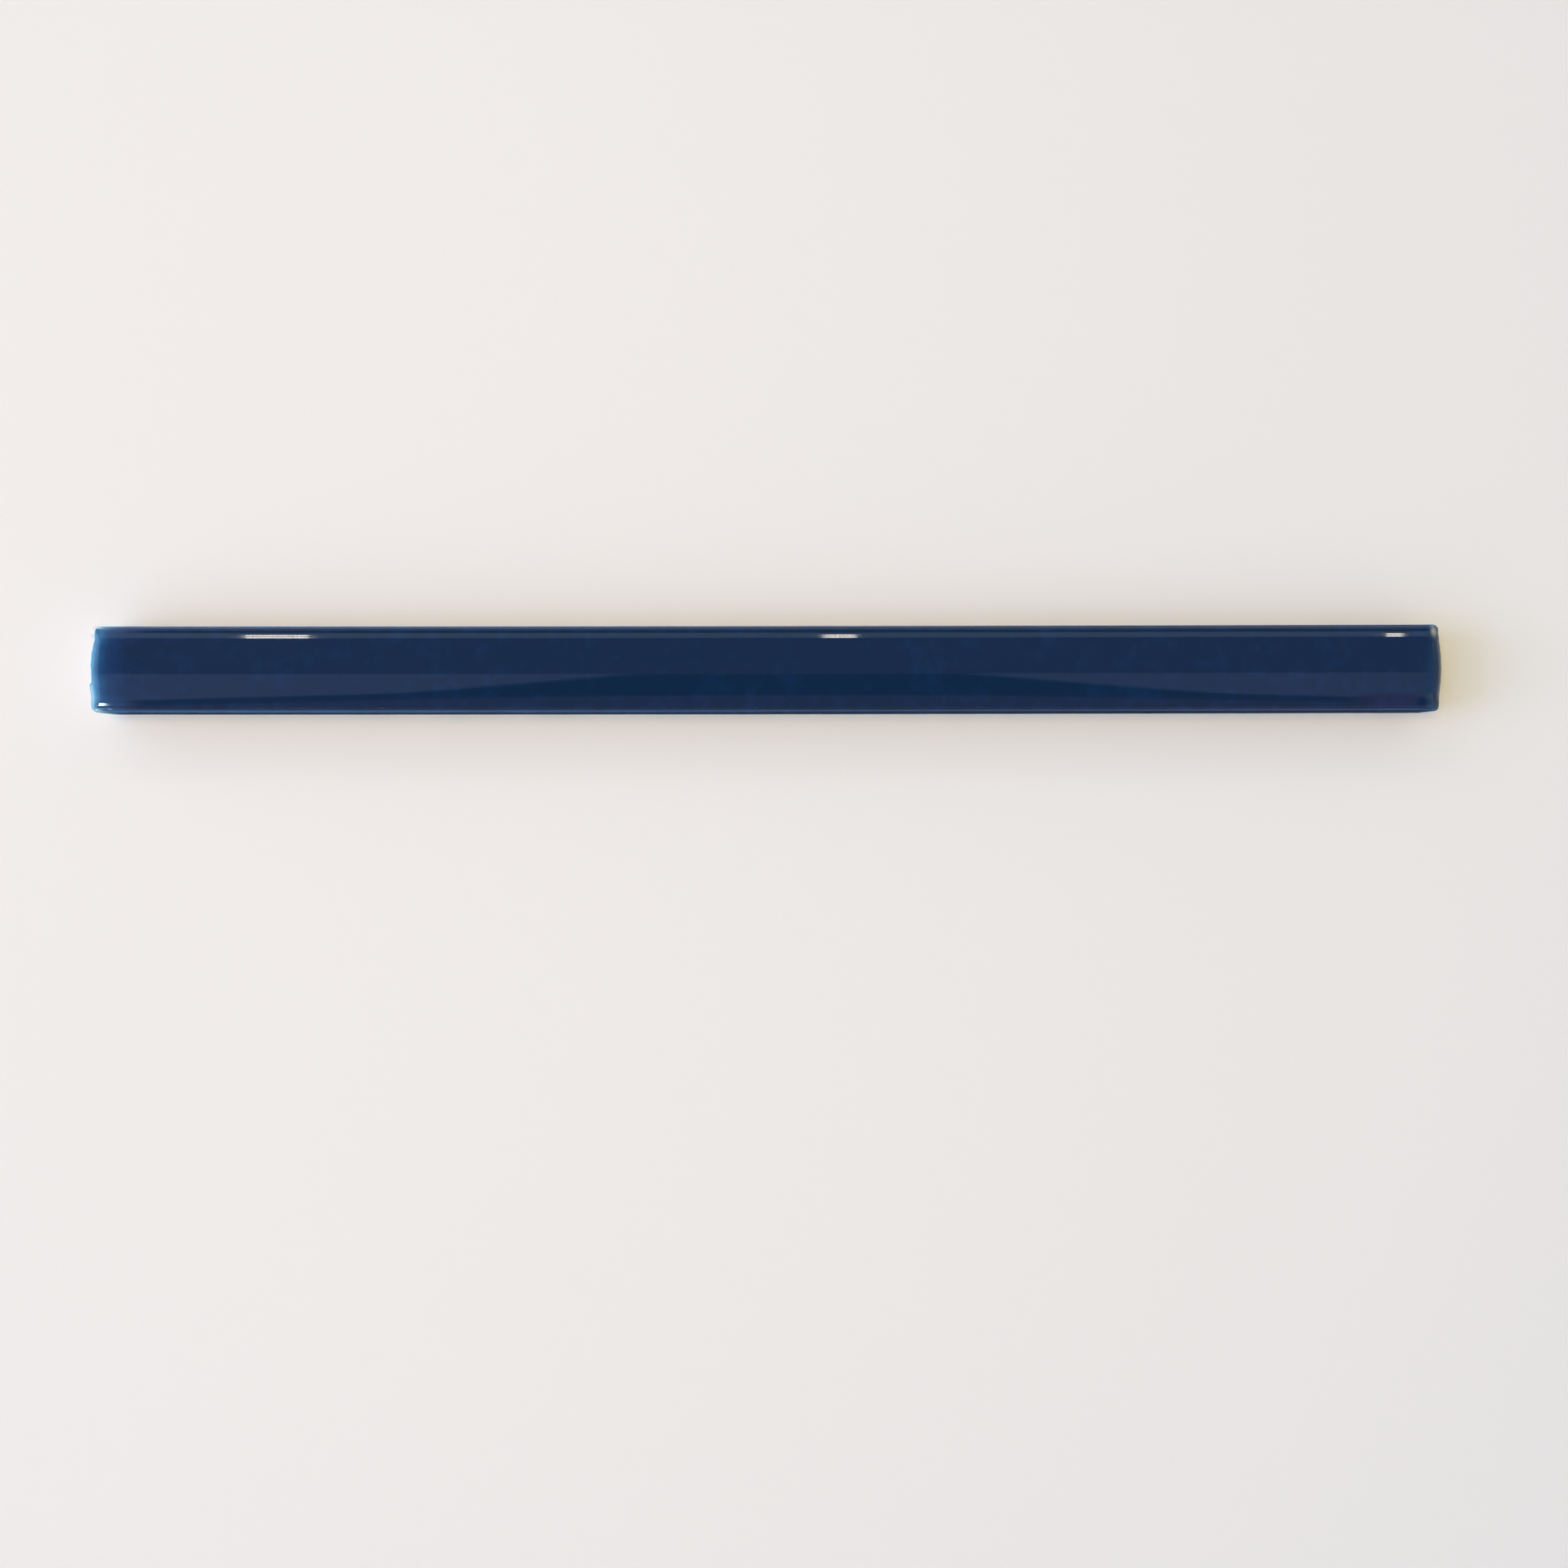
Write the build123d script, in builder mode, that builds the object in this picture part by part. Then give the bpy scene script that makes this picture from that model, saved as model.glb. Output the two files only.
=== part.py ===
from build123d import *
import os

# A pencil liner: a narrow ceramic trim tile with a low domed face, pressed,
# glazed and fired as one piece. X runs along its length, Y across its width,
# and Z up from the flat back that is bedded on the wall. The origin is the
# centre of the back. All sizes are in millimetres.

# Driving sizes
length = 200.0
width = 13.0
height = 9.0  # back to crown
dome_rise = 1.85  # crown above the line where the dome meets the long sides
edge_roll = 1.3  # soft radius of every glazed edge: round the face and up the four corners
foot_bevel = 0.4  # bevel round the back, where the clay is pressed into the die

# Height at which the dome would meet the long sides if that edge were sharp
side_height = height - dome_rise

with BuildPart() as liner:
    # End view of the tile: flat back, upright sides and a shallow arc over the top
    with BuildSketch(Plane.YZ) as section:
        with BuildLine():
            Polyline(
                (-width / 2, side_height),
                (-width / 2, 0),
                (width / 2, 0),
                (width / 2, side_height),
            )
            ThreePointArc((width / 2, side_height), (0, height), (-width / 2, side_height))
        make_face()
    extrude(amount=length / 2, both=True)

    # The glaze softens the rim of the domed face and the four upright corners alike
    upright_corners = liner.edges().filter_by(Axis.Z)
    domed_face = liner.faces().sort_by(Axis.Z)[-1]
    fillet(upright_corners + domed_face.edges(), edge_roll)

    back_face = liner.faces().sort_by(Axis.Z)[0]
    chamfer(back_face.edges(), foot_bevel)

liner.part.label = "pencil_liner"

os.makedirs("parts", exist_ok=True)
export_step(liner.part, "parts/pencil_liner.step")
print(liner.part.label, "volume", round(liner.part.volume, 1), "size", liner.part.bounding_box().size)
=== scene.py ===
import math

import bpy
from mathutils import Matrix, Vector, noise


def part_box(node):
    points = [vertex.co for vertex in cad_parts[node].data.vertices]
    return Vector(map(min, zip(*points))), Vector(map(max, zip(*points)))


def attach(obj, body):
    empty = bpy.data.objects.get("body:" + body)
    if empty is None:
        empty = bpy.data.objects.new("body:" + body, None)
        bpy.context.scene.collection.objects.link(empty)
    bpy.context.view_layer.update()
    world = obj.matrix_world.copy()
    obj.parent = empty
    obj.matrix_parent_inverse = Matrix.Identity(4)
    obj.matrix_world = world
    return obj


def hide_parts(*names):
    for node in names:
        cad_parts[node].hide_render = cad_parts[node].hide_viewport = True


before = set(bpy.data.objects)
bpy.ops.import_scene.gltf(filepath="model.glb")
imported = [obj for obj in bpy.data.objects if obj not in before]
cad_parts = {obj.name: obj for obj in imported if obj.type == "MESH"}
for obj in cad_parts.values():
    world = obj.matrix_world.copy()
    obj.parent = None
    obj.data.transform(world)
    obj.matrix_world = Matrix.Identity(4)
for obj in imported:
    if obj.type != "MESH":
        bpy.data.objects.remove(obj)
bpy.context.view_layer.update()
print("frame loaded")

# A glazed pencil liner on a pale table, seen from straight above.
# Shapes are worked out in millimetres and turned to metres where a mesh is made.
mm = 0.001
tileNode = "pencil_liner"
lowCorner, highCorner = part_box(tileNode)
boxLength, boxWidth, boxHeight = ((highCorner - lowCorner) / mm)[:]


def linearColour(hexCode):
    # sRGB hex to the linear values that shaders take
    channels = [int(hexCode[i:i + 2], 16) / 255 for i in (1, 3, 5)]
    return [c / 12.92 if c <= 0.04045 else ((c + 0.055) / 1.055) ** 2.4 for c in channels] + [1.0]


def addNode(tree, kind, inputs=None, stops=None, **settings):
    # inputs: socket name or number to a value or to another node's output
    # stops: a ramp's places and colours
    node = tree.nodes.new(kind)
    for name, value in settings.items():
        setattr(node, name, value)
    for socket, source in (inputs or {}).items():
        if isinstance(source, bpy.types.NodeSocket):
            tree.links.new(source, node.inputs[socket])
        else:
            node.inputs[socket].default_value = source
    if stops:
        elements = node.color_ramp.elements
        while len(elements) < len(stops):
            elements.new(0.5)
        for element, (place, hexCode) in zip(elements, stops):
            element.position = place
            element.color = linearColour(hexCode)
    return node


def remap(tree, value, low, high, toLow=0.0, toHigh=1.0, clamp=True):
    ranges = {0: value, 1: low, 2: high, 3: toLow, 4: toHigh}
    return addNode(tree, "ShaderNodeMapRange", ranges, clamp=clamp).outputs[0]


def reckon(tree, operation, *values, **settings):
    inputs = dict(enumerate(values))
    return addNode(tree, "ShaderNodeMath", inputs, operation=operation, **settings).outputs[0]


def colourRamp(tree, share, stops):
    return addNode(tree, "ShaderNodeValToRGB", {"Fac": share}, stops=stops).outputs[0]


def mixed(tree, share, first, second, blend="MIX"):
    colours = {"Fac": share, "Color1": first, "Color2": second}
    return addNode(tree, "ShaderNodeMixRGB", colours, blend_type=blend).outputs[0]


def noiseTexture(tree, place, size, detail):
    inputs = {"Vector": place, "Scale": 1 / (size * mm), "Detail": detail}
    return addNode(tree, "ShaderNodeTexNoise", inputs).outputs["Fac"]


def fromCells(tree, place, spacing):
    # Distance from the middle of the nearest of many scattered cells, as a share of their spacing
    inputs = {"Vector": place, "Scale": 1 / (spacing * mm)}
    return addNode(tree, "ShaderNodeTexVoronoi", inputs).outputs["Distance"]


def meshValue(tree, name):
    return addNode(tree, "ShaderNodeAttribute", attribute_name=name).outputs["Fac"]


def bump(tree, height, depth, strength, under=None):
    inputs = {"Strength": strength, "Distance": depth * mm, "Height": height}
    if under is not None:
        inputs["Normal"] = under
    return addNode(tree, "ShaderNodeBump", inputs).outputs[0]


def newMaterial(name):
    material = bpy.data.materials.new(name)
    material.use_nodes = True
    material.node_tree.nodes.clear()
    return material, material.node_tree


def addToScene(name, data):
    piece = bpy.data.objects.new(name, data)
    bpy.context.scene.collection.objects.link(piece)
    return piece


def smooth(low, high, value):
    # 0 below low, 1 above high, eased between
    t = min(1.0, max(0.0, (value - low) / (high - low)))
    return t * t * (3 - 2 * t)


def alongPoints(points, place):
    # Eased height at place, along a few given (place, height) points
    for (startPlace, startHeight), (endPlace, endHeight) in zip(points, points[1:]):
        if place <= endPlace:
            return startHeight + (endHeight - startHeight) * smooth(startPlace, endPlace, place)
    return points[-1][1]


# The tile's shape, in mm
tile = {
    "slack": 0.005,  # kept free inside the box
    "bow": 0.09,  # the long centreline bends this far in the kiln, its middle towards -Y
    "leftNarrower": 0.03,  # firing shrinks the left end a little more
    "domeRise": 1.85,
    "sideRoll": 1.3,
    "leftRoll": 2.05,
    "rightRoll": 1.5,
    "rollBlend": (0.1, 0.9),  # one roll turns into the other between these shares of the turn at a corner
    "cornerRadius": [1.1, 0.68, 0.9, 0.7],  # in plan: lower left, lower right, upper right, upper left
    "cornerReach": (0.6, 3.0),  # the roll is as tight as its corner up to the first, plain from the second
    "draft": 0.01,  # the walls lean in this much towards the back
    "footBevel": 0.4,
    "kilnFade": (5.0, 7.6),  # heights between which the face's long waves begin
    "kilnSqueeze": 1.5,  # those waves are this much shorter across the tile
    "alongCount": 360,
    "acrossCount": 56,
    "alongCrowding": 0.75,  # how much closer together the mesh's rows are near the ends
    "acrossCrowding": 0.7,
}

# Small unevenness: height, length of the waves in mm, and a number that gives each its own pattern
unevenness = {
    "kiln": (0.004, 40.0, 21.0),  # mm, long shallow waves of the glazed face
    "foot": (0.3, 7.0, 3.0),  # mm, up and down on the glaze line of the long sides
    "footFine": (0.15, 2.1, 5.0),
    "endLine": (0.16, 0.9, 8.0),  # share of the glaze's travel over an end
    "bareEdge": (0.1, 0.9, 8.0),  # share of the bare strip's width at the left end
    "cloud": (0.03, 6.5, 11.0),  # share of the full coat
    "cloudFine": (0.02, 1.1, 17.0),
}

# The glass over the clay, in mm. A travel is a distance from the edge of the dome, over the roll and down
glaze = {
    "coat": 0.15,
    "bead": 0.02,  # the thicker rim that surface tension leaves along the glaze line
    "bareFoot": 0.45,  # clay left bare above the back on the long sides
    "endBlend": (0.15, 0.85),  # shares of a corner's turn between which the end's glaze takes over
    # On the left end the glaze stops high on the roll, and laps over it below the middle
    "leftEndTravel": [(-6.5, 5.2), (-5.6, 3.6), (-3.0, 3.3), (-2.3, 3.1), (-1.7, 1.38), (0.0, 1.38),
                      (1.6, 1.46), (3.2, 1.05), (5.0, 0.71), (6.2, 0.66), (6.5, 3.0)],
    # Towards the upper corner the edge lies on the face itself, this far from the end
    "leftBare": [(1.6, 0.0), (3.3, 0.9), (4.4, 1.15), (5.4, 1.0), (6.5, 1.1)],
    "bareSoft": (0.1, 0.14),  # the coat starts this far before that edge, and is full this far beyond it
    "bareLevel": 0.05,  # how far under zero the coat's depth is on bare clay, so that no cloud shows there
    # On the right end it reaches over the roll, and draws back near the upper corner
    "rightEndTravel": [(-6.5, 5.2), (-5.8, 2.6), (-3.0, 1.9), (1.0, 1.75), (4.0, 1.65), (4.8, 0.95),
                       (5.5, 0.9), (6.0, 2.4), (6.5, 5.2)],
    # Share of the glaze that drains off each arris, how far that reaches, and how suddenly it stops
    "leftThinning": (0.9, 1.8, 1),
    "rightThinning": (0.32, 0.55, 1),
    "sideThinning": (0.46, 0.7, 3),
    "sidesEven": (-70, 60, 0.65),  # along X between these places the sides' share falls by this much
    # On the left end it reaches less far at the round corner
    "leftReach": [(-6.5, 0.6), (-4.0, 1.0), (2.0, 1.0), (5.0, 1.25)],
    # How far it reaches down the wall
    "wallReach": {"leftThinning": 2.8, "rightThinning": 1.5, "sideThinning": 0.45},
    # Where on the roll it is thinnest, as a share of the roll, and how much of the rest of the roll lies
    # between that place and the wall, seen from above
    "endArris": 0.42,
    "sideArris": 0.78,
    "endSpan": 1.2,
    "sideSpan": 0.6,
    # Share of the roll, on the sides and on the ends, below which the glaze gets too thin to lie smooth
    "satinFrom": (0.25, 0.5),
    "satinSpan": 0.5,  # and over which share of the roll it gets so
    "thinSpot": {"x": 98.9, "y": 5.3, "halfLength": 0.36, "halfWidth": 0.7, "depth": 0.8},
    "rightShadeTint": 0.09,  # painted warm shade: the thin spot's brown laid thinly over the shaded right end's roll
    "shadeTintSpan": 0.5,  # share of the roll over which that painted shade comes in
    # Rows of the mesh at the glaze line: mm from the line, depth in beads (minus stands out), and what is
    # added to the coat
    "lip": [(-0.50, -0.3, 0.05), (-0.28, -1.0, 0.08), (-0.14, -0.6, 0.02), (-0.06, 0.9, -0.12),
            (-0.01, 2.6, -0.2)],
    "lipRoom": 1.4,  # these rows are squeezed where the glaze stops sooner than this
    "lipGap": 0.015,  # from the line to the first row of bare clay
    "toastReach": 0.5,  # how far the tan flush reaches down the clay
    "rollPart": 0.7,  # the roll's rows take at most this share of the way to the lip
    "rollRows": 17,
    "wallRows": 7,
    "clayRows": 14,
    "clayCrowding": 1.5,  # the clay's rows lie closer together near the glaze line
}


def uneven(kind, x, y):
    height, length, pattern = unevenness[kind]
    return height * noise.noise(Vector((x / length, y / length, pattern)))


halfLength = boxLength / 2 - tile["slack"] - glaze["bead"]
halfWidth = boxWidth / 2 - tile["bow"] / 2 - tile["slack"] - glaze["bead"]
crown = boxHeight - tile["slack"] - unevenness["kiln"][0]
domeRadius = (halfWidth ** 2 + tile["domeRise"] ** 2) / (2 * tile["domeRise"])
domeAxis = crown - domeRadius  # height of the dome's axis, below the back


def gradedPlaces(count, crowding):
    # 0 to 1, closer together near both ends, where the corners need it
    fullTurn = 2 * math.pi
    return [i / count - crowding * math.sin(fullTurn * i / count) / fullTurn for i in range(count + 1)]


def outlineSide(start, along, outward, span, startRadius, endRadius, places):
    # Points of one side in plan with their outward directions, from corner middle to corner middle
    startArc = startRadius * math.pi / 4
    endArc = endRadius * math.pi / 4
    straight = span - startRadius - endRadius
    stations = []
    for place in places:
        gone = place * (startArc + straight + endArc)
        if gone < startArc:
            turn = (gone - startArc) / startRadius
            centre = start + startRadius * (along - outward)
            radius = startRadius
        elif gone > startArc + straight:
            turn = (gone - startArc - straight) / endRadius
            centre = start + (span - endRadius) * along - endRadius * outward
            radius = endRadius
        else:
            turn = 0.0
            centre = start + (startRadius + gone - startArc) * along
            radius = 0.0
        direction = math.cos(turn) * outward + math.sin(turn) * along
        stations.append((centre + radius * direction, direction))
    return stations


def endRoll(x):
    return tile["leftRoll"] if x < 0 else tile["rightRoll"]


def cornerRadius(point):
    lowerLeft, lowerRight, upperRight, upperLeft = tile["cornerRadius"]
    if point.y > 0:
        return upperRight if point.x > 0 else upperLeft
    return lowerRight if point.x > 0 else lowerLeft


def rollRadius(point, direction):
    # The end's roll meets the sides' roll, and both tighten towards a sharp corner
    endShare = smooth(*tile["rollBlend"], abs(direction.x))
    plain = tile["sideRoll"] + (endRoll(point.x) - tile["sideRoll"]) * endShare
    tight = min(plain, cornerRadius(point))
    toCorner = math.hypot(halfLength - abs(point.x), halfWidth - abs(point.y))
    return tight + (plain - tight) * smooth(*tile["cornerReach"], toCorner)


def makeStation(point, direction):
    # A ball of the roll's radius touches the wall and the dome here; the profile follows it down to the back
    radius = rollRadius(point, direction)
    centre = point - radius * direction
    tilt = math.asin(centre.y / (domeRadius - radius))
    ballHeight = domeAxis + (domeRadius - radius) * math.cos(tilt)
    toDome = Vector((0, math.sin(tilt), math.cos(tilt)))
    toWall = direction.to_3d()
    turn = toDome.angle(toWall)
    station = {
        "point": point,
        "direction": direction,
        "radius": radius,
        "centre": Vector((centre.x, centre.y, ballHeight)),
        "toDome": toDome,
        "toWall": toWall,
        "turn": turn,
        "rollTravel": radius * turn,
        "wall": ballHeight - tile["footBevel"],
        "endShare": smooth(*glaze["endBlend"], abs(direction.x)),
    }
    station["total"] = station["rollTravel"] + station["wall"] + math.sqrt(2) * tile["footBevel"]
    station["glazeLine"] = glazeLine(station)
    return station


def glazeLine(station):
    # How far down the profile the glaze runs
    x, y = station["point"]
    foot = glaze["bareFoot"] + uneven("foot", x, y) + uneven("footFine", x, y)
    sideLine = station["rollTravel"] + station["wall"] - foot
    endPoints = glaze["rightEndTravel"] if x > 0 else glaze["leftEndTravel"]
    endLine = alongPoints(endPoints, y) * (1 + uneven("endLine", x, y))
    return sideLine + (endLine - sideLine) * station["endShare"]


def profilePoint(station, travel, depth):
    # depth is how far below the glazed surface the point lies
    if travel < station["rollTravel"]:
        share = travel / station["rollTravel"]
        turn = station["turn"]
        ray = math.sin((1 - share) * turn) * station["toDome"] + math.sin(share * turn) * station["toWall"]
        return station["centre"] + (station["radius"] - depth) * ray / math.sin(turn)
    fallen = travel - station["rollTravel"]
    leaning = tile["draft"] * min(1.0, fallen / station["wall"])
    point = station["point"] - (depth + leaning) * station["direction"]
    if fallen < station["wall"]:
        return Vector((point.x, point.y, station["centre"].z - fallen))
    bevel = (fallen - station["wall"]) / math.sqrt(2)
    point -= bevel * station["direction"]
    return Vector((point.x, point.y, tile["footBevel"] - bevel))


def drained(kind, distance, falling=False):
    # Share of the glaze that is gone at this distance from an arris; falling is true on the wall below it
    most, reach, power = glaze[kind]
    return most * math.exp(-((distance / (glaze["wallReach"][kind] if falling else reach)) ** power))


def spotShare(x, y):
    # 1 in the middle of the thin spot beside the upper right corner
    spot = glaze["thinSpot"]
    away = math.hypot((x - spot["x"]) / spot["halfLength"], (y - spot["y"]) / spot["halfWidth"])
    return math.exp(-away * away)


def bareShare(x, y):
    # 1 on the strip of the face beside the left end that the glaze leaves free
    edge = alongPoints(glaze["leftBare"], y) * (1 + uneven("bareEdge", x, y))
    before, beyond = glaze["bareSoft"]
    return 1 - smooth(edge - before, edge + beyond, x + halfLength) if edge > 0 else 0.0


def glazeDepth(x, y, toEnd, toSide, falling=False):
    # 1 is the full coat. The distances are from the nearest end's arris and the nearest side's
    if x < 0:
        end = 1 - drained("leftThinning", toEnd / alongPoints(glaze["leftReach"], y), falling)
    else:
        end = 1 - drained("rightThinning", toEnd, falling)
    fallStart, fallEnd, fall = glaze["sidesEven"]
    side = 1 - drained("sideThinning", toSide, falling) * (1 - fall * smooth(fallStart, fallEnd, x))
    cloud = uneven("cloud", x, y) + uneven("cloudFine", x, y)
    coat = end * side - glaze["thinSpot"]["depth"] * spotShare(x, y) + cloud
    bare = bareShare(x, y)
    return coat * (1 - bare) - glaze["bareLevel"] * bare


def stationDepth(station, travel):
    # The glaze's depth on the roll and the wall, from the distances to the two arrises
    point = profilePoint(station, travel, 0.0)
    share = station["endShare"]
    arris = share * glaze["endArris"] + (1 - share) * glaze["sideArris"]
    fromArris = travel - arris * station["rollTravel"]
    endArris = halfLength - (1 - glaze["endArris"]) * glaze["endSpan"] * endRoll(point.x)
    sideArris = halfWidth - (1 - glaze["sideArris"]) * glaze["sideSpan"] * tile["sideRoll"]
    toEnd = share * abs(fromArris) + (1 - share) * max(0.0, endArris - abs(point.x))
    toSide = (1 - share) * abs(fromArris) + share * max(0.0, sideArris - abs(point.y))
    return glazeDepth(point.x, point.y, toEnd, toSide, fromArris > 0)


def domeDepth(x, y):
    # On the dome the way over the roll to the arris is added
    toEnd = max(0.0, halfLength - endRoll(x) - abs(x)) + glaze["endArris"] * endRoll(x) * math.pi / 2
    toSide = max(0.0, halfWidth - tile["sideRoll"] - abs(y)) + glaze["sideArris"] * tile["sideRoll"]
    return glazeDepth(x, y, toEnd, toSide)


def ringRows(station):
    # Places down one profile: travel, depth below the glazed surface, glaze depth, toasting (on the glaze
    # rows the thin spot's brown, and on the right end's roll a painted warm shade tint), satin, and what the
    # face below is made of
    line = station["glazeLine"]
    squeeze = min(1.0, line / glaze["lipRoom"])
    rollRows, wallRows, clayRows = glaze["rollRows"], glaze["wallRows"], glaze["clayRows"]
    rows = []
    lipStart = line + glaze["lip"][0][0] * squeeze
    onRoll = min(station["rollTravel"], glaze["rollPart"] * lipStart)
    for i in range(1, rollRows + 1):
        rows.append([onRoll * i / rollRows, 0.0, 0.0, 0.0, 0.0, "glaze"])
    for i in range(1, wallRows):
        rows.append([onRoll + (lipStart - onRoll) * i / wallRows, 0.0, 0.0, 0.0, 0.0, "glaze"])
    for offset, beads, change in glaze["lip"]:
        rows.append([line + offset * squeeze, beads * glaze["bead"], change, 0.0, 0.0, "glaze"])
    sideFrom, endFrom = glaze["satinFrom"]
    satinFrom = sideFrom + (endFrom - sideFrom) * station["endShare"]
    for row in rows:
        row[2] += stationDepth(station, row[0])
        point = profilePoint(station, row[0], 0.0)
        rollShare = row[0] / station["rollTravel"]
        # Painted warm shade over the shaded right end's roll, in the thin spot's brown
        shadeTint = glaze["rightShadeTint"] * station["endShare"] * smooth(0.0, glaze["shadeTintSpan"], rollShare)
        row[3] = max(spotShare(point.x, point.y), shadeTint if point.x > 0 else 0.0)
        row[4] = smooth(satinFrom, satinFrom + glaze["satinSpan"], rollShare)
    rest = station["total"] - line
    gap = glaze["lipGap"] * squeeze
    for i in range(clayRows + 1):
        below = gap + (rest - gap) * (i / clayRows) ** glaze["clayCrowding"]
        toastAndShade = math.exp(-below / glaze["toastReach"])
        rows.append([line + below, glaze["coat"], 0.0, toastAndShade, 0.0, "clay"])
    return rows


def fillPatch(bottom, right, top, left, alongPlaces, acrossPlaces):
    # Plan points of a grid between four rows of points (a Coons patch)
    grid = []
    for j, v in enumerate(acrossPlaces):
        row = []
        for i, u in enumerate(alongPlaces):
            point = (1 - v) * bottom[i] + v * top[i] + (1 - u) * left[j] + u * right[j]
            point -= (1 - u) * (1 - v) * bottom[0] + u * (1 - v) * bottom[-1]
            point -= (1 - u) * v * top[0] + u * v * top[-1]
            row.append(point)
        grid.append(row)
    return grid


def kilnShape(point):
    # The bow and the narrower left end, and the face's long waves, which fade below the roll
    x, y, z = point
    leftness = 0.5 - x / (2 * halfLength)
    y *= 1 - leftness * tile["leftNarrower"] / boxWidth
    y += tile["bow"] * ((x / halfLength) ** 2 - 0.5)
    z += uneven("kiln", x, tile["kilnSqueeze"] * y) * smooth(*tile["kilnFade"], z)
    return Vector((x, y, z)) * mm


def makeTile():
    along, across = tile["alongCount"], tile["acrossCount"]
    alongPlaces = gradedPlaces(along, tile["alongCrowding"])
    acrossPlaces = gradedPlaces(across, tile["acrossCrowding"])
    right, up = Vector((1, 0)), Vector((0, 1))
    toEnd, toSide = halfLength * right, halfWidth * up
    lowerLeft, lowerRight, upperRight, upperLeft = tile["cornerRadius"]
    sides = [
        outlineSide(-toEnd - toSide, right, -up, 2 * halfLength, lowerLeft, lowerRight, alongPlaces),
        outlineSide(toEnd - toSide, up, right, 2 * halfWidth, lowerRight, upperRight, acrossPlaces),
        outlineSide(toEnd + toSide, -right, up, 2 * halfLength, upperRight, upperLeft, alongPlaces),
        outlineSide(toSide - toEnd, -up, -right, 2 * halfWidth, upperLeft, lowerLeft, acrossPlaces),
    ]
    stations = [makeStation(point, direction) for side in sides for point, direction in side[:-1]]
    count = len(stations)
    vertices, thickness, toastAndShadeValues, satin, faces, finishes = [], [], [], [], [], []

    def addVertex(point, glazeThickness, toastAndShade=0.0, satinShare=0.0):
        vertices.append(kilnShape(point))
        thickness.append(glazeThickness)
        toastAndShadeValues.append(toastAndShade)
        satin.append(satinShare)
        return len(vertices) - 1

    def ringIndex(i, j):
        # The station that ends grid place i, j, or None inside
        if j == 0:
            return i
        if i == along:
            return along + j
        if j == across:
            return 2 * along + across - i
        if i == 0:
            return (2 * along + 2 * across - j) % count
        return None

    def addPatch(ring, liftPoint, edgePoints, finish, flip):
        grid = fillPatch(
            [edgePoints[i] for i in range(along + 1)],
            [edgePoints[along + j] for j in range(across + 1)],
            [edgePoints[2 * along + across - i] for i in range(along + 1)],
            [edgePoints[(2 * along + 2 * across - j) % count] for j in range(across + 1)],
            alongPlaces,
            acrossPlaces,
        )
        index = {}
        for j in range(across + 1):
            for i in range(along + 1):
                onRing = ringIndex(i, j)
                index[i, j] = liftPoint(grid[j][i]) if onRing is None else ring[onRing]
        for j in range(across):
            for i in range(along):
                corners = [index[i, j], index[i + 1, j], index[i + 1, j + 1], index[i, j + 1]]
                faces.append(corners[::-1] if flip else corners)
                finishes.append(finish)

    def domeVertex(point):
        height = domeAxis + math.sqrt(domeRadius ** 2 - point.y ** 2)
        depth = domeDepth(point.x, point.y)
        return addVertex((point.x, point.y, height), depth, spotShare(point.x, point.y))

    def backVertex(point):
        return addVertex((point.x, point.y, 0.0), 0.0)

    # Rim of the dome, then the rows down to the back
    rimPoints = [profilePoint(station, 0.0, 0.0) for station in stations]
    firstRing = [addVertex(point, stationDepth(station, 0.0)) for station, point in zip(stations, rimPoints)]
    profiles = [ringRows(station) for station in stations]
    upper = firstRing
    finish = "glaze"
    for k in range(len(profiles[0])):
        lower = []
        for station, rows in zip(stations, profiles):
            travel, depth, glazeThickness, toastAndShade, satinShare, kind = rows[k]
            point = profilePoint(station, travel, depth)
            lower.append(addVertex(point, glazeThickness, toastAndShade, satinShare))
        for s in range(count):
            nextS = (s + 1) % count
            faces.append([upper[s], lower[s], lower[nextS], upper[nextS]])
            finishes.append(finish)
        finish = kind
        upper = lower
    addPatch(firstRing, domeVertex, [point.to_2d() for point in rimPoints], "glaze", False)
    backPoints = [profilePoint(station, station["total"], glaze["coat"]).to_2d() for station in stations]
    addPatch(upper, backVertex, backPoints, "clay", True)

    mesh = bpy.data.meshes.new("pencilLinerTile")
    mesh.from_pydata(vertices, [], faces)
    # The toasted values hold the clay's tan flush, the thin spot's brown and the painted warm shade on the
    # right end's roll
    for name, values in (("glazeThickness", thickness), ("toasted", toastAndShadeValues), ("satin", satin)):
        mesh.attributes.new(name, "FLOAT", "POINT").data.foreach_set("value", values)
    mesh.polygons.foreach_set("use_smooth", [True] * len(faces))
    mesh.polygons.foreach_set("material_index", [0 if kind == "glaze" else 1 for kind in finishes])
    mesh.validate()
    return addToScene("pencil_liner_tile", mesh)


noiseLow, noiseHigh = 0.3, 0.7  # nearly all values of a noise texture lie between these

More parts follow.
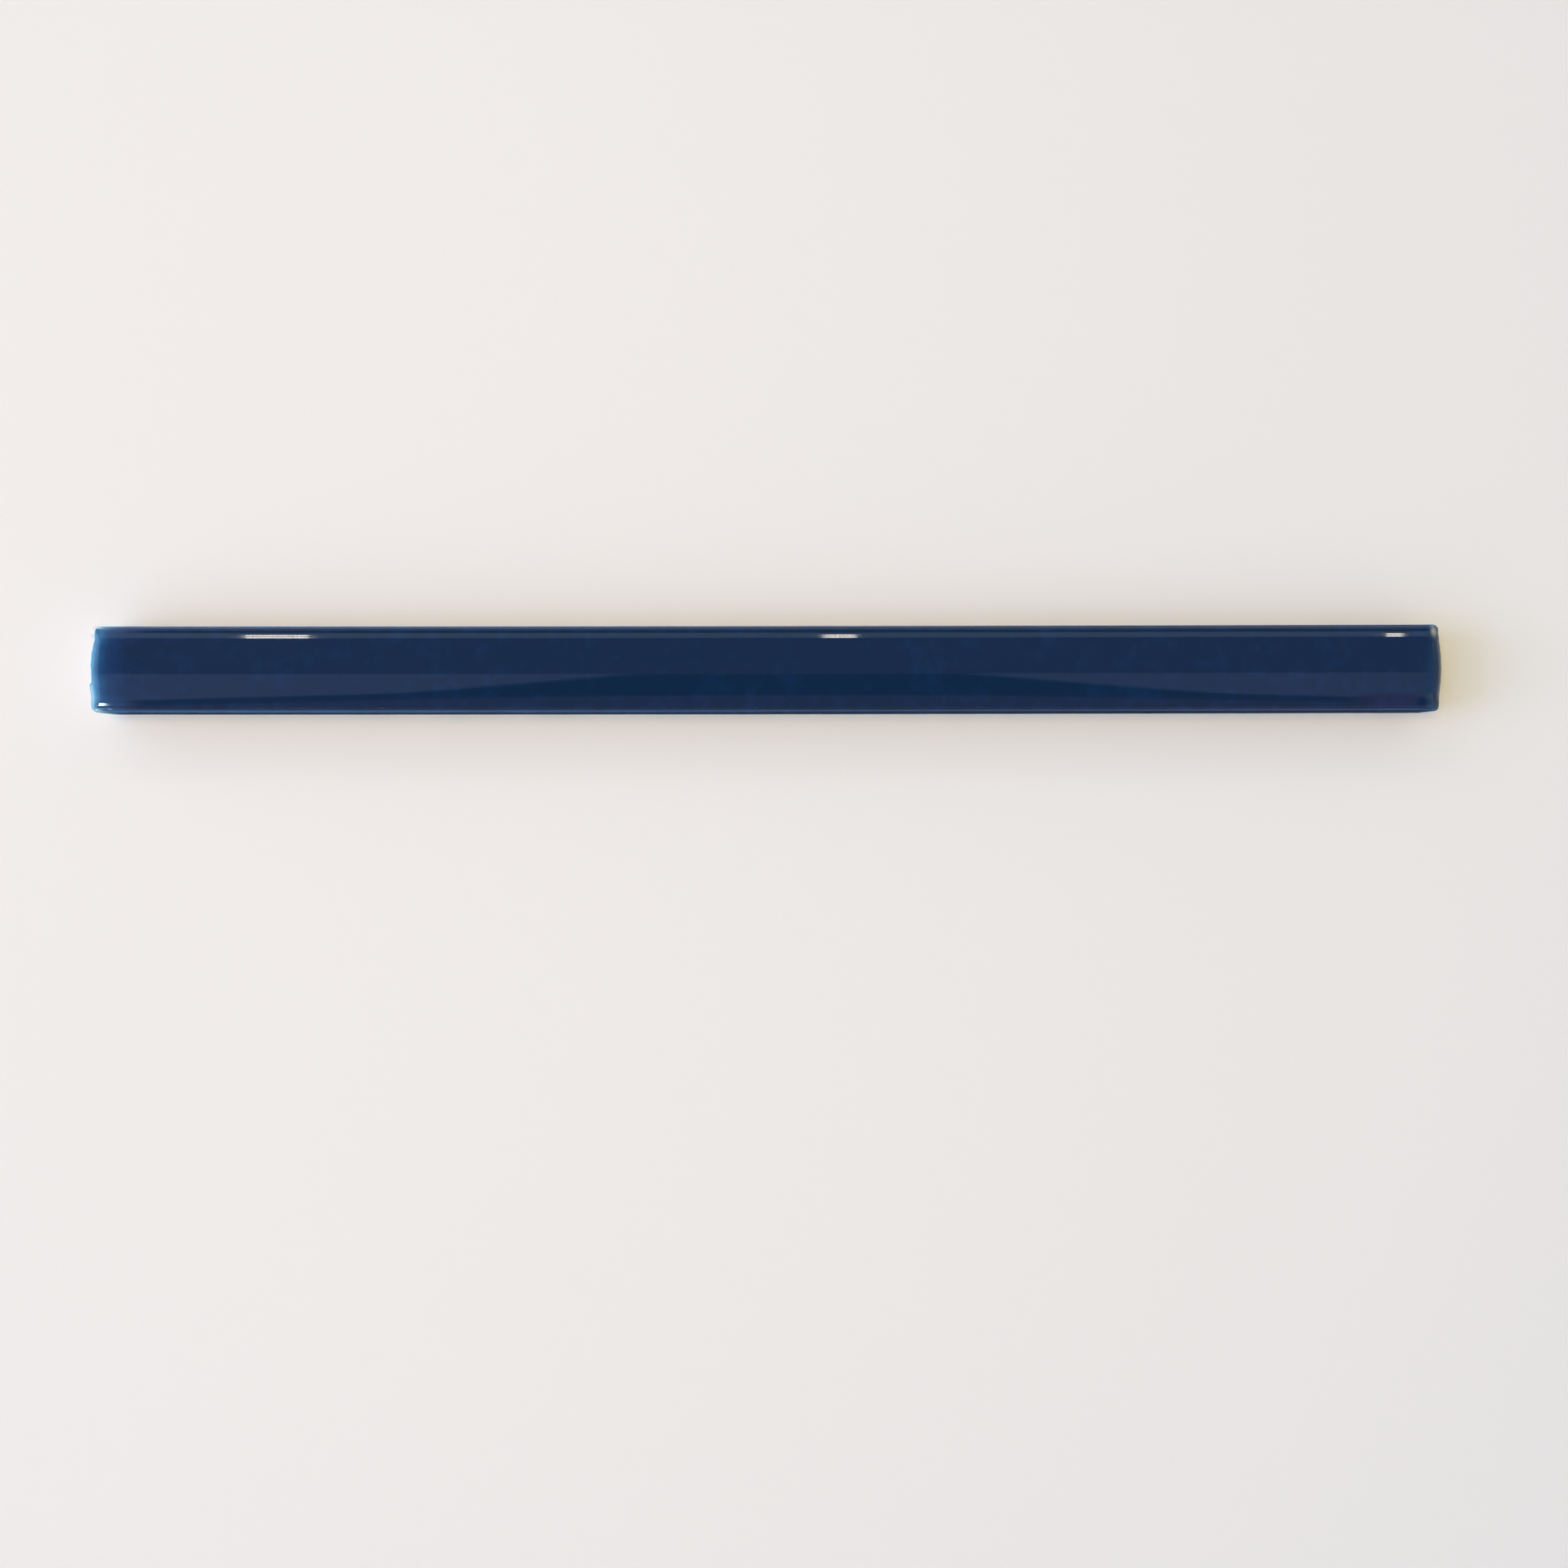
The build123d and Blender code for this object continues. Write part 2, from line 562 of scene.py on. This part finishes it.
# Transparent cobalt glaze over white clay, poured on and fired glossy: nearly black navy where it lies
# thick, clear blue and then pale teal where it has drained off an edge, under a hard wet-looking shine
cobaltGlaze = {
    "thinToThick": [(0.0, "#EEEDE8"), (0.03, "#D5E2E0"), (0.1, "#98C8D2"), (0.25, "#5E9FB8"),
                    (0.43, "#36789A"), (0.53, "#266090"), (0.62, "#184E7E"), (0.77, "#113861"),
                    (0.9, "#092C57"), (1.0, "#022242")],
    "cloudSize": 2.5,  # mm
    "cloudDepth": 0.04,  # share of the full coat, up and down
    "toasted": "#A29B74",  # tan brown over the thin spot, and painted warm shade over the right end's roll
    "ior": 1.52,
    "roughness": (0.02, 0.04),
    "shine": 0.5,  # the full gloss of such glass
    "satinRoughness": 0.9,  # low on the walls, where it lies thin and dry over the grain of the clay
    "satinShine": 0.05,  # how much gloss is left there
    "bareRoughness": 0.8,
    "dryBelow": 0.06,  # share of the coat under which the surface turns as dry as bare clay
    "ripple": 0.8,  # mm between the small waves of the fired surface
    "rippleSlope": 0.0006,  # how steep they are
    "pinholeSpacing": 11.0,
    "pinholeWidth": 0.14,
    "pinholeDepth": 0.02,
    "pinholeStrength": 0.5,
}


def makeCobaltGlaze():
    look = cobaltGlaze
    material, tree = newMaterial("cobaltGlossGlaze")
    place = addNode(tree, "ShaderNodeTexCoord").outputs["Object"]
    depth = meshValue(tree, "glazeThickness")
    cloud = noiseTexture(tree, place, look["cloudSize"], 4.0)
    cloudShift = remap(tree, cloud, noiseLow, noiseHigh, -look["cloudDepth"], look["cloudDepth"])
    thickness = reckon(tree, "ADD", depth, cloudShift, use_clamp=True)
    glass = colourRamp(tree, thickness, look["thinToThick"])
    # Brown over the thin spot, and painted warm shade over the shaded right end's roll
    colour = mixed(tree, meshValue(tree, "toasted"), glass, linearColour(look["toasted"]))
    sheen = remap(tree, cloud, noiseLow, noiseHigh, *look["roughness"])
    satin = meshValue(tree, "satin")
    rough = remap(tree, satin, 0.0, 1.0, sheen, look["satinRoughness"])
    shine = remap(tree, satin, 0.0, 1.0, look["shine"], look["satinShine"])
    dry = remap(tree, thickness, 0.0, look["dryBelow"], look["bareRoughness"], rough)
    # Small ripples that gloss makes visible, and a few pinholes where gas came through
    ripple = noiseTexture(tree, place, 2 * look["ripple"], 1.0)
    rippled = bump(tree, ripple, look["rippleSlope"] * look["ripple"], 1.0)
    holes = fromCells(tree, place, look["pinholeSpacing"])
    holeShape = remap(tree, holes, 0.0, look["pinholeWidth"] / look["pinholeSpacing"])
    pitted = bump(tree, holeShape, look["pinholeDepth"], look["pinholeStrength"], rippled)
    shader = addNode(tree, "ShaderNodeBsdfPrincipled", {
        "Base Color": colour, "IOR": look["ior"], "Roughness": dry, "Normal": pitted,
        "Specular IOR Level": shine})
    addNode(tree, "ShaderNodeOutputMaterial", {"Surface": shader.outputs[0]})
    return material


# Bisque-fired white clay, dust-pressed: chalky off-white with a fine sandy grain, a few iron specks,
# and a faint tan flush beside the glaze
biscuitClay = {
    "pale": "#EAE7DF",
    "warm": "#DFD9CD",
    "cloudSize": 6.0,  # mm
    "warmToPale": (0.35, 0.65),
    "toasted": "#9A8468",
    "toastStrength": 0.35,
    "speck": "#5C5248",
    "speckSpacing": 2.4,
    "speckEdge": (0.03, 0.06),  # shares of the spacing between which a speck fades
    "speckStrength": 0.7,
    "roughness": 0.85,
    "grain": 0.35,  # mm; real grains are about 0.1, drawn coarser so that they show
    "grainDepth": 0.05,
    "grainStrength": 0.6,
}


def makeBiscuitClay():
    look = biscuitClay
    material, tree = newMaterial("bisqueWhiteClay")
    place = addNode(tree, "ShaderNodeTexCoord").outputs["Object"]
    cloud = noiseTexture(tree, place, look["cloudSize"], 5.0)
    warmPlace, palePlace = look["warmToPale"]
    body = colourRamp(tree, cloud, [(warmPlace, look["warm"]), (palePlace, look["pale"])])
    toastShare = reckon(tree, "MULTIPLY", meshValue(tree, "toasted"), look["toastStrength"])
    flushed = mixed(tree, toastShare, body, linearColour(look["toasted"]))
    fromSpeck = fromCells(tree, place, look["speckSpacing"])
    speckShape = remap(tree, fromSpeck, *look["speckEdge"], look["speckStrength"], 0.0)
    colour = mixed(tree, speckShape, flushed, linearColour(look["speck"]))
    grain = noiseTexture(tree, place, look["grain"], 3.0)
    rough = bump(tree, grain, look["grainDepth"], look["grainStrength"])
    shader = addNode(tree, "ShaderNodeBsdfPrincipled", {
        "Base Color": colour, "Roughness": look["roughness"], "Normal": rough})
    addNode(tree, "ShaderNodeOutputMaterial", {"Surface": shader.outputs[0]})
    return material


tilePiece = makeTile()
tilePiece.data.materials.append(makeCobaltGlaze())
tilePiece.data.materials.append(makeBiscuitClay())
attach(tilePiece, "root")
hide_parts(tileNode)
print("tile made,", sum(len(face.vertices) - 2 for face in tilePiece.data.polygons), "triangles")


# A matt pale table top
table = {
    "size": 3.0,  # metres
    "gap": 0.02,  # mm below the back, so that the two faces don't share a plane
    "colour": "#EFEFE8",
}


def makeTable():
    mesh = bpy.data.meshes.new("table")
    half, z = table["size"] / 2, -table["gap"] * mm
    corners = [(-half, -half, z), (half, -half, z), (half, half, z), (-half, half, z)]
    mesh.from_pydata(corners, [], [(0, 1, 2, 3)])
    piece = addToScene("table", mesh)
    material, tree = newMaterial("mattWhiteTable")
    lit = addNode(tree, "ShaderNodeBsdfDiffuse", {"Color": linearColour(table["colour"])})
    addNode(tree, "ShaderNodeOutputMaterial", {"Surface": lit.outputs[0]})
    mesh.materials.append(material)


makeTable()
print("table made")


def aroundTile(roundAngle, up, away):
    # A place in the room: degrees round from +X, degrees up, and metres away
    roundAngle, up = math.radians(roundAngle), math.radians(up)
    flat = away * math.cos(up)
    return Vector((flat * math.cos(roundAngle), flat * math.sin(roundAngle), away * math.sin(up)))


def addAreaLight(name, position, size, colour, watts, inGloss):
    # A light either fills the room unseen or shows in the gloss alone
    light = bpy.data.lights.new(name, "AREA")
    light.shape = "RECTANGLE"
    light.size, light.size_y = size
    light.color = linearColour(colour)[:3]
    light.energy = watts
    lamp = addToScene(name, light)
    lamp.location = position
    lamp.rotation_euler = Vector(position).to_track_quat("Z", "Y").to_euler()  # faces the tile
    lamp.visible_camera = False
    lamp.visible_glossy = inGloss
    lamp.visible_diffuse = not inGloss
    return lamp


# The lights that fill the room, in degrees and metres
roomLights = {
    # Warm and soft, high over the left end. In the gloss it would show as a square
    "softFill": {"round": 169, "up": 79.5, "away": 0.71, "size": (0.22, 0.22), "colour": "#FFD880",
                 "watts": 2.02},
    # Cool daylight from the left, which leaves the warm shade at the right end
    "daylight": {"round": 184, "up": 30, "away": 1.6, "size": (0.8, 0.8), "colour": "#BFC9FF",
                 "watts": 11.2},
}

# Two tall window panes at the front left, mirrored as glints in the round corner. Their right edge is set
# so that the dome shows them no further along than this corner
paneWindow = {
    "seenFrom": (-97.8, -5.6, 8.0),  # mm
    "away": 3.0,
    "sideways": (-0.458, -0.3981),  # shares of X in the direction
    "over": [(-50.6, -46.4), (-80, -62)],  # degrees over the tile, minus in front of it
    "colour": "#D6F4FF",
    "glow": 48.0,
}


def makeWindow():
    look = paneWindow
    lowX, highX = look["sideways"]
    sideways = (lowX + highX) / 2
    flat = math.sqrt(1 - sideways ** 2)
    width = look["away"] * (highX - lowX) / flat
    for lowOver, highOver in look["over"]:
        over = math.radians((lowOver + highOver) / 2)
        toPane = Vector((sideways, flat * math.sin(over), flat * math.cos(over)))
        height = look["away"] * flat * math.radians(highOver - lowOver)
        position = Vector(look["seenFrom"]) * mm + look["away"] * toPane
        watts = look["glow"] * math.pi * width * height
        pane = addAreaLight("windowPane", position, (width, height), look["colour"], watts, True)
        upright = Vector((0, -toPane.z, toPane.y)).normalized()
        pane.rotation_euler = Matrix((upright.cross(toPane), upright, toPane)).transposed().to_euler()


for lightName, look in roomLights.items():
    position = aroundTile(look["round"], look["up"], look["away"])
    addAreaLight(lightName, position, look["size"], look["colour"], look["watts"], False)
makeWindow()

# Three louvred ceiling lamps behind the tile. Each shows in the glaze as two thin rows of bright cells
ceilingLamps = {
    "away": 1.2,
    "up": 38.2,
    "lamps": [(-453, 16), (53, 8), (552, 4)],  # mm along X from the tile's middle, and cells in a row
    "cell": (2.0, 50),  # mm
    "pitch": (3.6, 66),
    "colour": "#FFF3E4",
    "strength": 30.0,
}


def makeCeilingLamps():
    look = ceilingLamps
    centre = aroundTile(90, look["up"], look["away"])
    up = math.radians(look["up"])
    down = Vector((0, math.sin(up), -math.cos(up)))
    cellWidth, cellHeight = look["cell"]
    pitchAcross, pitchDown = look["pitch"]
    halfAcross = Vector((cellWidth / 2 * mm, 0, 0))
    halfDown = cellHeight / 2 * mm * down
    vertices, faces = [], []
    for middle, cells in look["lamps"]:
        for i in range(cells):
            for row in (-0.5, 0.5):
                across = middle + (i - (cells - 1) / 2) * pitchAcross
                cellCentre = centre + Vector((across * mm, 0, 0)) + row * pitchDown * mm * down
                first = len(vertices)
                for a, b in ((-1, -1), (1, -1), (1, 1), (-1, 1)):
                    vertices.append(cellCentre + a * halfAcross + b * halfDown)
                faces.append([first, first + 1, first + 2, first + 3])
    mesh = bpy.data.meshes.new("ceilingLampCells")
    mesh.from_pydata(vertices, [], faces)
    material, tree = newMaterial("lampCellGlow")
    light = {"Color": linearColour(look["colour"]), "Strength": look["strength"]}
    glow = addNode(tree, "ShaderNodeEmission", light)
    addNode(tree, "ShaderNodeOutputMaterial", {"Surface": glow.outputs[0]})
    mesh.materials.append(material)
    piece = addToScene("ceilingLampCells", mesh)
    piece.visible_camera = False


makeCeilingLamps()
print("lights set")

# The camera hangs straight over the table, a little below and right of the tile's middle. mm and degrees
camera = {"x": 2.87, "y": -17.07, "z": 240.1, "turn": -0.078, "lens": 36.11, "sensor": 36.0, "near": 10.0}


def makeCamera():
    data = bpy.data.cameras.new("topCamera")
    data.sensor_width = camera["sensor"]
    data.lens = camera["lens"]
    data.clip_start = camera["near"] * mm
    holder = addToScene("topCamera", data)
    holder.location = Vector((camera["x"], camera["y"], camera["z"])) * mm
    holder.rotation_euler = (0, 0, math.radians(camera["turn"]))
    bpy.context.scene.camera = holder


makeCamera()

# The room that the gloss mirrors. An angle is in degrees over the tile: 0 straight up, 90 the horizon
# behind it
room = {
    "brightness": 2.0,
    "over": [(-90, "#50606A"), (-62, "#56646E"), (-52, "#8F8A98"), (-36, "#8F8A98"), (-33, "#6E7076"),
             (-27, "#6E7076"), (-24, "#AEBDE2"), (-4.5, "#AEBDE2"), (-3, "#80889C"), (48.7, "#80889C"),
             (50.5, "#C8E1FB"), (57, "#C8E1FB"), (58.5, "#6A8090"), (80, "#4A5A62"), (90, "#70808A")],
    "frontBend": 114,  # degrees by which the bright strip widens, times the square of the direction's X
    "frontLimit": -10,  # and the angle behind which nothing is bent
    # Someone bending over the table, dark against the bright strip and wider towards the front: shares of
    # X in the direction, and the degrees over which the figure fades at the front and at the back
    "onlooker": {"middle": 0.01, "narrow": 0.0865, "spread": 0.292, "soft": 0.012, "colour": "#5F6D69",
                 "front": (-36, -33), "back": (-4.5, -3)},
    # The side walls begin between these shares of X in the direction. Where only a part of a wall looks
    # so, "between" holds the degrees over the tile where that part begins, is full, begins to end, and
    # is gone
    "walls": {
        "frontLeft": {"colour": "#8FA8D8", "start": -0.380, "end": -0.392, "between": (-92, -91, -38, -32)},
        "leftWall": {"colour": "#B8CCF0", "start": -0.403, "end": -0.45},
        "backLeft": {"colour": "#B4B6DC", "start": -0.372, "end": -0.390, "between": (56, 60, 91, 92)},
        "frontRight": {"colour": "#7D697E", "start": 0.335, "end": 0.355, "between": (-57, -53, -38, -32)},
        "frontLow": {"colour": "#363C46", "start": 0.30, "end": 0.34, "between": (-92, -91, -57, -53)},
        "rightNear": {"colour": "#6E8C9E", "start": 0.3765, "end": 0.3795},
        "frontEdge": {"colour": "#A5C0C6", "start": 0.3782, "end": 0.3796, "between": (-92, -91, -38, -32)},
        "rightWall": {"colour": "#84806A", "start": 0.385, "end": 0.43},
    },
    # Something small and dark, mirrored in the lower right corner: shares of X and degrees over the tile.
    # It fades between these shares of its half size
    "darkSpot": {"sideways": 0.3776, "halfWidth": 0.0030, "over": -47, "halfOver": 7.5, "fade": (0.8, 1.15),
                 "colour": "#28323C"},
    # A plain pale band near the horizon, which is what lies behind the table when it's seen from low down
    "lowWall": {"colour": "#ABA9A6", "full": 0.14, "none": 0.21},  # sines of the height
    # Brightness from left (0) to right (1)
    "alongGlow": [(0.0, "#FFFFFF"), (0.3, "#C8C8C8"), (0.42, "#BCBCBC"), (1.0, "#BCBCBC")],
}


def makeRoom():
    world = bpy.data.worlds.new("room")
    bpy.context.scene.world = world
    world.use_nodes = True
    tree = world.node_tree
    tree.nodes.clear()
    direction = addNode(tree, "ShaderNodeTexCoord").outputs["Generated"]
    directionX, directionY, directionZ = addNode(tree, "ShaderNodeSeparateXYZ", {0: direction}).outputs[:]
    overAngle = reckon(tree, "ARCTAN2", directionY, directionZ)

    def betweenAngles(low, high, toLow=0.0, toHigh=1.0):
        return remap(tree, overAngle, math.radians(low), math.radians(high), toLow, toHigh)

    def fromCentre(value, centre, half):
        # -1 to 1 across a spot, and on beyond it
        return remap(tree, value, centre - half, centre + half, -1.0, 1.0, clamp=False)

    # The front edge of the bright strip curves away towards the ends
    acrossSquare = reckon(tree, "MULTIPLY", directionX, directionX)
    bent = reckon(tree, "MULTIPLY_ADD", acrossSquare, math.radians(room["frontBend"]), overAngle)
    front = reckon(tree, "MINIMUM", bent, math.radians(room["frontLimit"]))
    strips = reckon(tree, "MAXIMUM", front, overAngle)
    overPlace = remap(tree, strips, -math.pi / 2, math.pi / 2)
    colour = colourRamp(tree, overPlace, [(0.5 + angle / 180, code) for angle, code in room["over"]])

    someone = room["onlooker"]
    fromMiddle = reckon(tree, "ABSOLUTE", reckon(tree, "SUBTRACT", directionX, someone["middle"]))
    shoulder = reckon(tree, "MULTIPLY_ADD", overAngle, someone["spread"], fromMiddle)
    beside = remap(tree, shoulder, someone["narrow"] - someone["soft"], someone["narrow"] + someone["soft"])
    behind = betweenAngles(*someone["back"])
    before = betweenAngles(*someone["front"], 1.0, 0.0)
    clear = reckon(tree, "MAXIMUM", reckon(tree, "MAXIMUM", beside, behind), before)
    colour = mixed(tree, clear, linearColour(someone["colour"]), colour)

    rightness = remap(tree, directionX, -1.0, 1.0)
    colour = mixed(tree, 1.0, colour, colourRamp(tree, rightness, room["alongGlow"]), "MULTIPLY")
    for wall in room["walls"].values():
        share = remap(tree, directionX, wall["start"], wall["end"])
        if "between" in wall:
            begins, full, stillFull, gone = wall["between"]
            rising = betweenAngles(begins, full)
            falling = betweenAngles(stillFull, gone, 1.0, 0.0)
            share = reckon(tree, "MULTIPLY", share, reckon(tree, "MULTIPLY", rising, falling))
        colour = mixed(tree, share, colour, linearColour(wall["colour"]))

    spot = room["darkSpot"]
    spotAcross = fromCentre(directionX, spot["sideways"], spot["halfWidth"])
    spotOver = fromCentre(overAngle, math.radians(spot["over"]), math.radians(spot["halfOver"]))
    fromSpot = addNode(tree, "ShaderNodeCombineXYZ", {0: spotAcross, 1: spotOver}).outputs[0]
    spotAway = addNode(tree, "ShaderNodeVectorMath", {0: fromSpot}, operation="LENGTH").outputs["Value"]
    spotShadow = remap(tree, spotAway, *spot["fade"], 1.0, 0.0)
    colour = mixed(tree, spotShadow, colour, linearColour(spot["colour"]))

    lowWall = room["lowWall"]
    low = remap(tree, directionZ, lowWall["full"], lowWall["none"], 1.0, 0.0)
    colour = mixed(tree, low, colour, linearColour(lowWall["colour"]))
    glow = addNode(tree, "ShaderNodeBackground", {"Color": colour, "Strength": room["brightness"]})
    addNode(tree, "ShaderNodeOutputWorld", {"Surface": glow.outputs[0]})


makeRoom()
bpy.context.scene.view_settings.view_transform = "Standard"
print("camera and room set")
